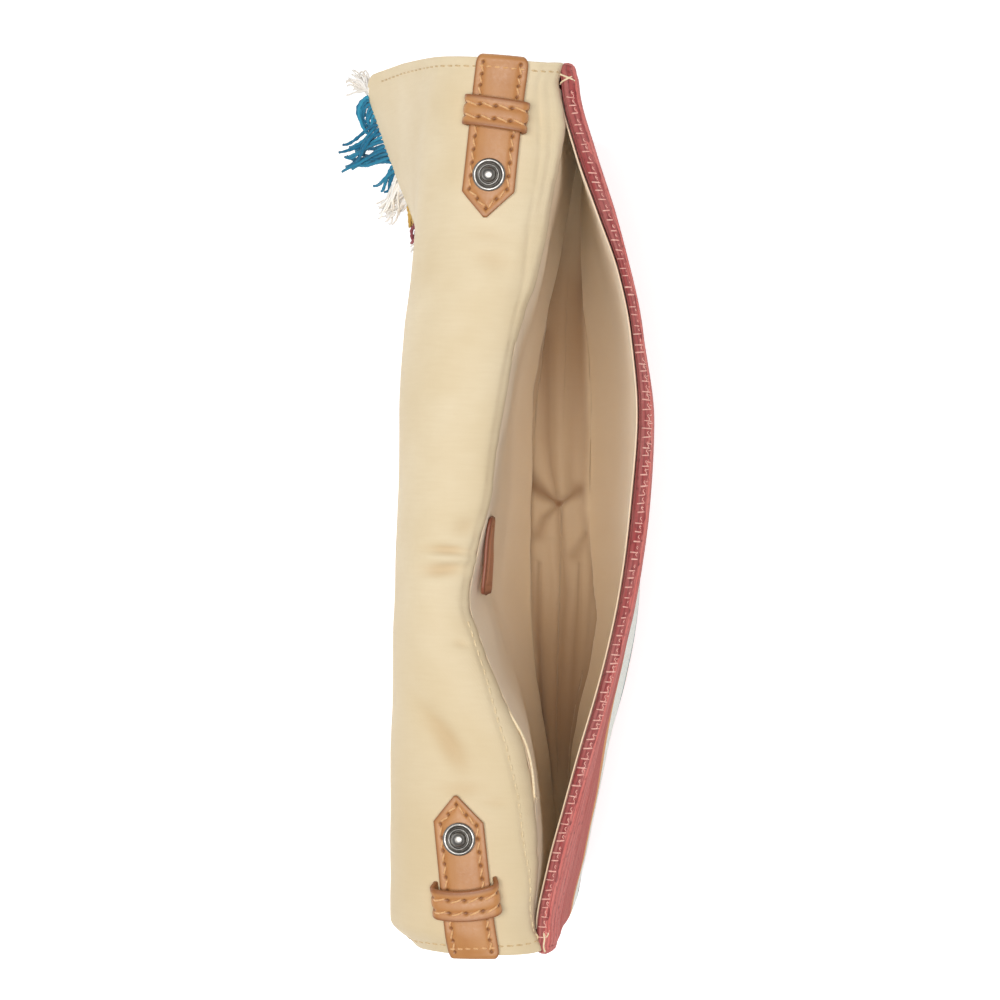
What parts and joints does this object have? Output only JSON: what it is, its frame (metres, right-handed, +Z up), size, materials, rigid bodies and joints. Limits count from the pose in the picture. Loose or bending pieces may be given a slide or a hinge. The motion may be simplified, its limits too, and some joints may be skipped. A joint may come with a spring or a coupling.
{
  "type": "crossbody bag",
  "caption": "Soft woven crossbody pouch with a cotton lining, a fringed flap thrown open over its back, and pointed leather tabs with keepers and snap studs for a strap.",
  "frame": {"origin": "on the resting face, at mid width, in the plane of the two side seams", "axes": "+X along the bag's width, -Y towards the front panel, +Z up; the open flap hangs on the +Y side"},
  "size_m": [0.304, 0.1267, 0.2192],
  "materials": {
    "woven": "striped flat weave",
    "cotton": "fine cotton twill with a slight sheen",
    "leather": "smooth tan leather with pale topstitching",
    "metal": "antique nickel",
    "fringe_cream": "frayed cotton yarn",
    "fringe_blue": "twisted yarn",
    "fringe_mustard": "twisted yarn",
    "fringe_maroon": "twisted yarn"
  },
  "bodies": {
    "root": {"front_panel": "woven", "back_panel": "woven", "flap_shell": "woven", "pouch_lining": "cotton", "flap_lining": "cotton", "inner_patch": "leather", "tab_right": "leather", "tab_left": "leather", "keeper_right": "leather", "keeper_left": "leather", "stud_right": "metal", "stud_left": "metal", "fringe_01_cream": "fringe_cream", "fringe_02_blue": "fringe_blue", "fringe_03_cream": "fringe_cream", "fringe_04_mustard": "fringe_mustard", "fringe_05_maroon": "fringe_maroon", "fringe_06_cream": "fringe_cream", "fringe_07_blue": "fringe_blue", "fringe_08_cream": "fringe_cream", "fringe_09_blue": "fringe_blue", "fringe_10_cream": "fringe_cream", "fringe_11_maroon": "fringe_maroon", "fringe_12_mustard": "fringe_mustard", "fringe_13_cream": "fringe_cream", "fringe_14_blue": "fringe_blue", "fringe_15_cream": "fringe_cream"}
  },
  "joints": []
}
